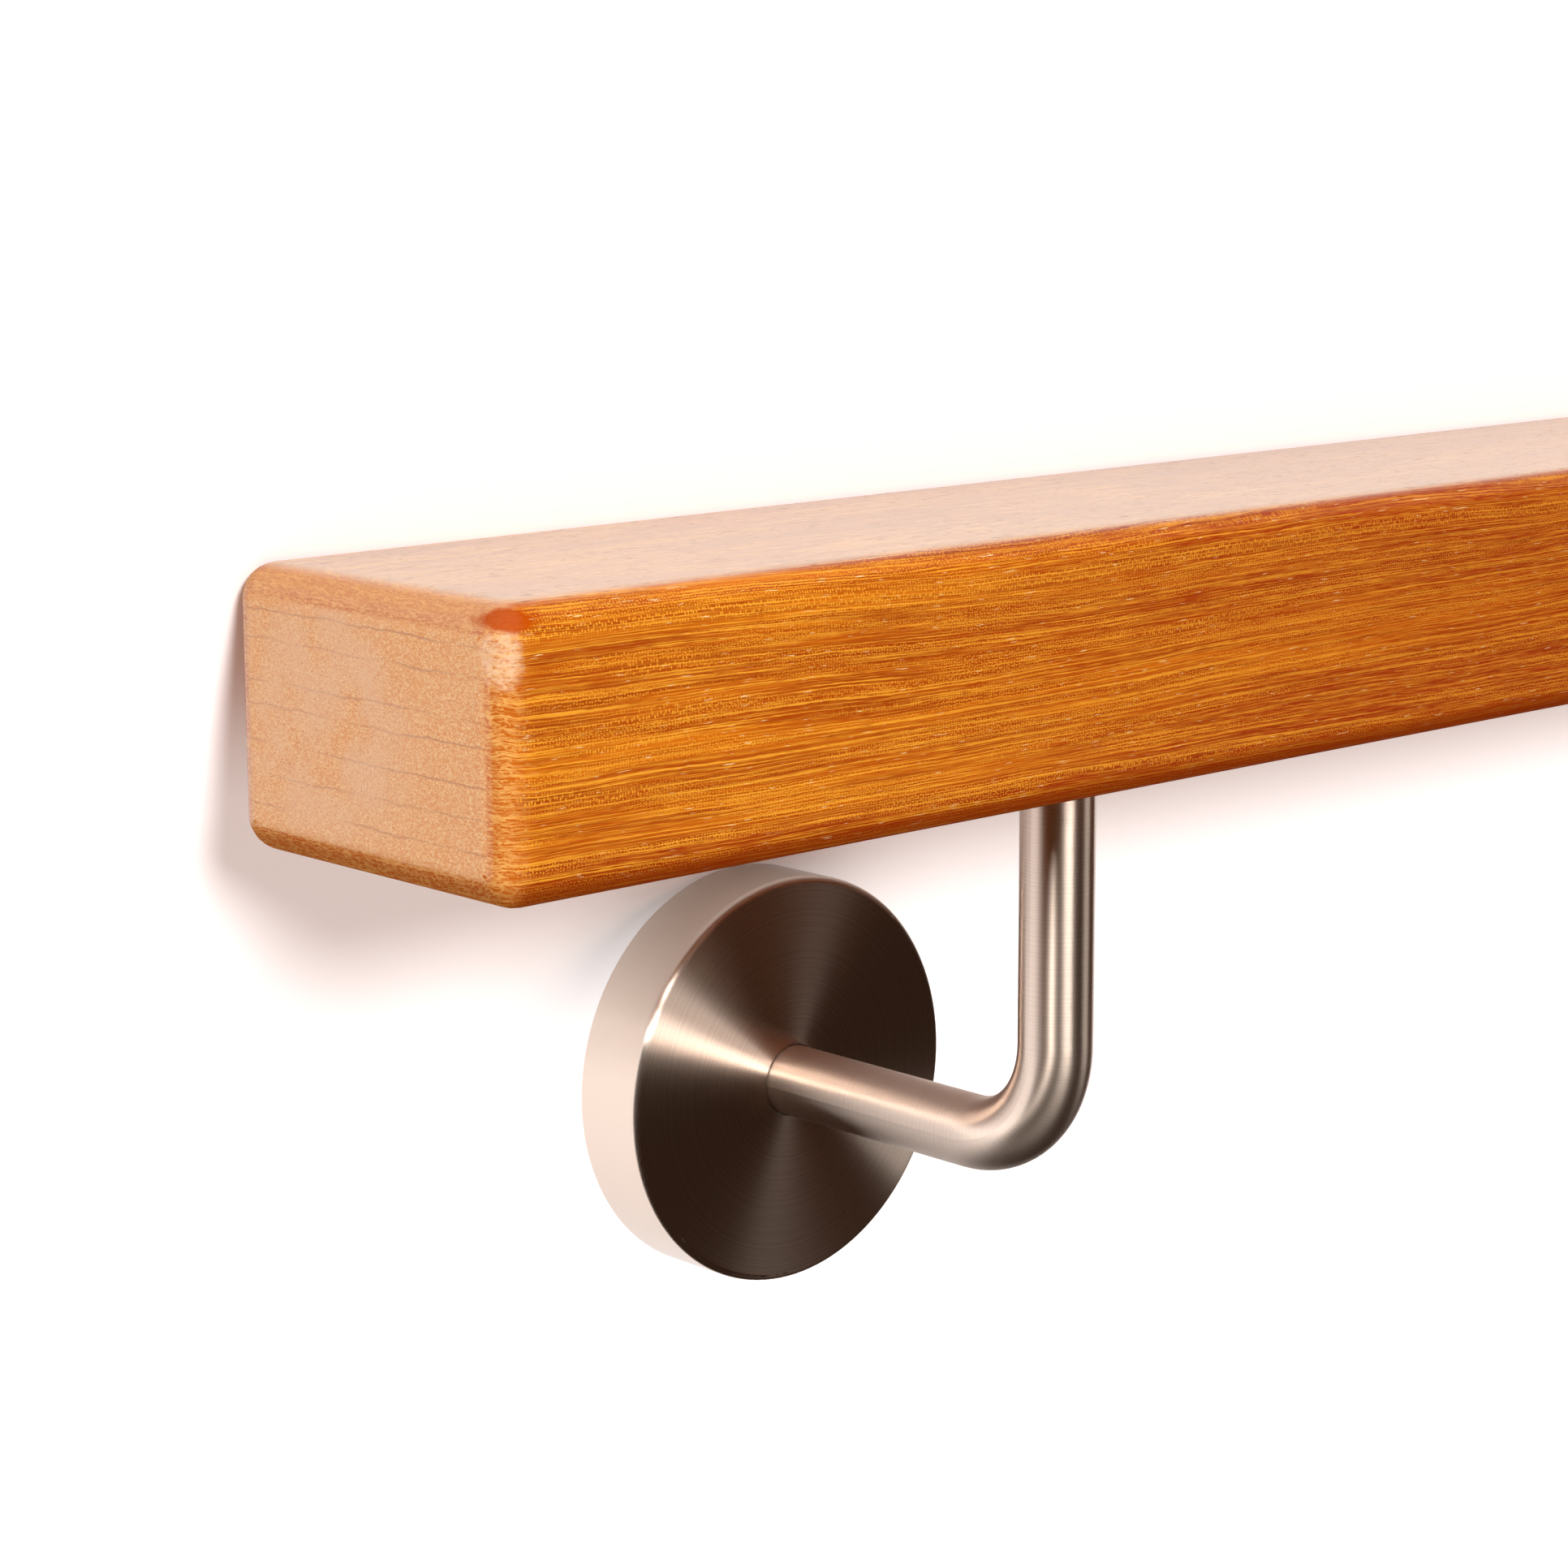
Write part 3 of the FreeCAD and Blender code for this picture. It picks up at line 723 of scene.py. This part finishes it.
# %% [markdown]
# ## Floor and world
#
# The rail lies on a plain pale floor. Its reflections matter as much as its light: the front of the
# rail and the face of the rose are dark and deep because they mirror a dim room, and the top and end
# of the rail are pale because they mirror the white floor. The Light Path node tells a material what
# looks at it, so each answer can be set by itself. The floor and the world are white to the camera,
# and a faint warm glow that only the camera sees lifts the shadow on the floor. To a reflection the
# floor is nearly white, and the room above it is dim and warm. To plain light the floor is a mid
# grey, so that it throws little of it back at the timber.

# %% Answers of the floor and the world
WHITE = (1.0, 1.0, 1.0, 1.0)
NO_GLOW = (0.0, 0.0, 0.0, 1.0)
SHADOW_GLOW = (0.06, 0.02, 0.01, 1.0)
MIRRORED_FLOOR = (0.94, 0.97, 0.99, 1.0)
MATT_FLOOR = (0.52, 0.52, 0.52, 1.0)
ROOM_FILL = (0.25, 0.25, 0.25, 1.0)
DIM_ROOM = (0.030, 0.016, 0.010, 1.0)


# %% Floor
def floor_finish():
    """White to the camera, nearly white in a reflection, and mid grey to plain light."""
    made, tree, shader = new_finish("pale_floor")
    tree.nodes.remove(shader)
    light_path = node(tree, "LightPath")
    to_eye = light_path.outputs["Is Camera Ray"]
    to_mirror = light_path.outputs["Is Glossy Ray"]
    shown = blend(tree, to_mirror, WHITE, MIRRORED_FLOOR)
    paint = blend(tree, either(tree, to_eye, to_mirror), MATT_FLOOR, shown)
    matt = node(tree, "BsdfDiffuse", {"Color": paint}).outputs[0]
    glow = blend(tree, to_eye, NO_GLOW, SHADOW_GLOW)
    lift = node(tree, "Emission", {"Color": glow, "Strength": 1.0}).outputs[0]
    together = node(tree, "AddShader", {0: matt, 1: lift}).outputs[0]
    feed(tree, tree.nodes["Material Output"], {"Surface": together})
    return made


FLOOR_SIZE = 12.0
bpy.ops.object.select_all(action="DESELECT")
bpy.ops.mesh.primitive_plane_add(size=FLOOR_SIZE)
floor = bpy.context.object
floor.name = "floor"
floor.data.materials.append(floor_finish())
print("floor:", FLOOR_SIZE, "m square")

# %% World
world = bpy.data.worlds.new("studio")
bpy.context.scene.world = world
world.use_nodes = True
light_path = node(world.node_tree, "LightPath")
lit = blend(world.node_tree, light_path.outputs["Is Glossy Ray"], ROOM_FILL, DIM_ROOM)
sky = blend(world.node_tree, light_path.outputs["Is Camera Ray"], lit, WHITE)
feed(world.node_tree, world.node_tree.nodes["Background"], {"Color": sky})
print("world:", world.name)

# %% [markdown]
# ## Lamps
#
# Three soft lamps show the matt colours: the key from the front, a side lamp for the sawn end and a
# weaker one for the underside and the back. A steel piece needs something to mirror instead, so five
# more lamps show only in reflections: a slanted window with a curtain above it, an umbrella up on
# the left, and on the right a doorway and a very faint lantern.
#
# Light linking limits a lamp to a group of pieces, so that a reflection that suits the bars can leave
# the roses alone.

# %% Who is lit by what
def group(name, members):
    """A collection that lamps can be limited to."""
    made = bpy.data.collections.new(name)
    for member in members:
        made.objects.link(member)
    print("group", name, "has", len(members), "members")
    return made


timber_only = group("timber", [frame["nodes"]["handrail"]])
steel_only = group("steel", [piece for name, piece in frame["nodes"].items() if name != "handrail"])
whole_object = group("object", list(frame["nodes"].values()))
bars_only = group("bars", [frame["nodes"]["bracket_arm_1"], frame["nodes"]["bracket_arm_2"]])
roses_only = group("roses", [frame["nodes"]["cover_rose_1"], frame["nodes"]["cover_rose_2"]])
floor_only = group("stage", [floor])


# %% One lamp
PLAIN_WHITE = (1.0, 1.0, 1.0)
WARM_WHITE = (1.0, 0.96, 0.91)


def add_lamp(name, kind, energy, tint, receivers):
    """A lamp that lights only a group of objects. It still has to be placed and turned."""
    data = bpy.data.lights.new(name, kind)
    data.energy = energy
    data.color = tint
    made = bpy.data.objects.new(name, data)
    made.light_linking.receiver_collection = receivers
    bpy.context.scene.collection.objects.link(made)
    print(name, "lamp lights the", receivers.name)
    return made


def point_from(made, towards, slope=0.0):
    """Turns a lamp so that its light comes from a direction, with its width level when hung."""
    back = towards.normalized()
    across = (HUNG @ Vector((0.0, 0.0, 1.0))).cross(back).normalized()
    face = Matrix((across, back.cross(across), back)).transposed()
    made.rotation_euler = (face @ Matrix.Rotation(math.radians(slope), 3, "Z")).to_euler()


def panel(name, towards, distance, width, height, watts, receivers, slope=0.0):
    """A flat soft lamp that looks at the near bracket."""
    made = add_lamp(name, "AREA", watts, PLAIN_WHITE, receivers)
    made.data.shape = "RECTANGLE"
    made.data.size = width
    made.data.size_y = height
    made.location = centre_of("cover_rose_1") + (HUNG @ towards).normalized() * distance
    point_from(made, HUNG @ towards, slope)
    return made


# %% Key, side and back lamps, for the matt colours
SOFT_LAMP_DISTANCE = 2.4
for name, towards, size, watts in (
    ("key", Vector((0.12, 0.935, 0.33)), 0.32, 33.0),
    ("side", Vector((0.80, 0.58, 0.15)), 0.80, 19.0),
    ("back", Vector((-0.45, -0.05, -0.89)), 0.80, 15.0),
):
    made = panel(name, towards, SOFT_LAMP_DISTANCE, size, size, watts, whole_object)
    made.visible_glossy = False

# %% Bright shapes, for the reflections in the steel
for name, towards, distance, width, height, watts, slope, receivers in (
    ("window", Vector((0.210, 0.963, 0.165)), 1.6, 0.80, 0.06, 7.2, -24.0, steel_only),
    ("curtain", Vector((0.190, 0.910, 0.365)), 1.6, 0.60, 0.16, 4.2, -30.0, steel_only),
    ("umbrella", Vector((0.749, 0.480, 0.447)), 1.4, 0.20, 0.40, 11.5, 0.0, steel_only),
    ("lantern", Vector((-0.60, 0.62, -0.50)), 1.6, 0.20, 0.40, 0.10, 0.0, roses_only),
    ("doorway", Vector((-0.76, 0.63, -0.13)), 1.6, 0.60, 0.50, 1.2, 0.0, bars_only),
):
    made = panel(name, towards, distance, width, height, watts, receivers, slope)
    made.data.color = WARM_WHITE
    made.visible_diffuse = False

# %% [markdown]
# ## Light on the floor
#
# The floor has two lamps of its own, so that it can be white without more light on the object. A
# soft sun from the front throws the rail's shadow behind it. A wide, warm dome of light darkens only
# where a piece comes close to the floor, which shows that the pieces rest on it. Each lamp has a
# group of pieces that can block it.

# %% Sun and dome for the floor
for name, towards, strength, tint, spread, blockers in (
    ("floor_sun", HUNG @ Vector((0.370, 0.885, 0.340)), 1.46, (1.0, 0.97, 0.975), 12.0, timber_only),
    ("floor_dome", Vector((0.0, 0.0, 1.0)), 0.38, (1.0, 0.80, 0.72), 80.0, whole_object),
):
    made = add_lamp(name, "SUN", strength * math.pi, tint, floor_only)
    made.data.angle = math.radians(spread)
    made.light_linking.blocker_collection = blockers
    point_from(made, towards)

# %% [markdown]
# ## Colours as written
#
# Blender can bend colours as film does, which makes bright timber and steel duller. The Standard view
# leaves them alone, so that a colour in this lesson comes out as it is written.

# %% Plain view of the colours
bpy.context.scene.view_settings.view_transform = "Standard"
print("view:", bpy.context.scene.view_settings.view_transform)
